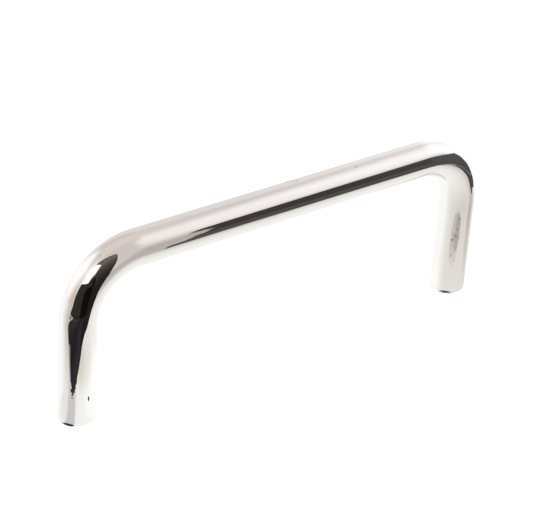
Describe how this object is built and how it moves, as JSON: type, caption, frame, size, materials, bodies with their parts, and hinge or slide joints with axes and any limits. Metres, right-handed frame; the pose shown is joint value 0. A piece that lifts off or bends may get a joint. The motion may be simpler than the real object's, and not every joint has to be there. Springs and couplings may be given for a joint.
{
  "type": "bridge pull handle",
  "caption": "Bridge pull handle bent from polished chrome round bar, with a square-cut tapped foot at each end, screwed on from behind a panel, door or drawer front.",
  "frame": {"origin": "midway between the two feet, on the plane they stand on", "axes": "+X from foot to foot along the grip, +Z from the mounting plane towards the grip, +Y across the bar"},
  "size_m": [0.108, 0.008, 0.04],
  "materials": {
    "chrome_bar": "polished bright chrome plate on a solid bar"
  },
  "bodies": {
    "root": {"handle_bar": "chrome_bar"}
  },
  "joints": []
}
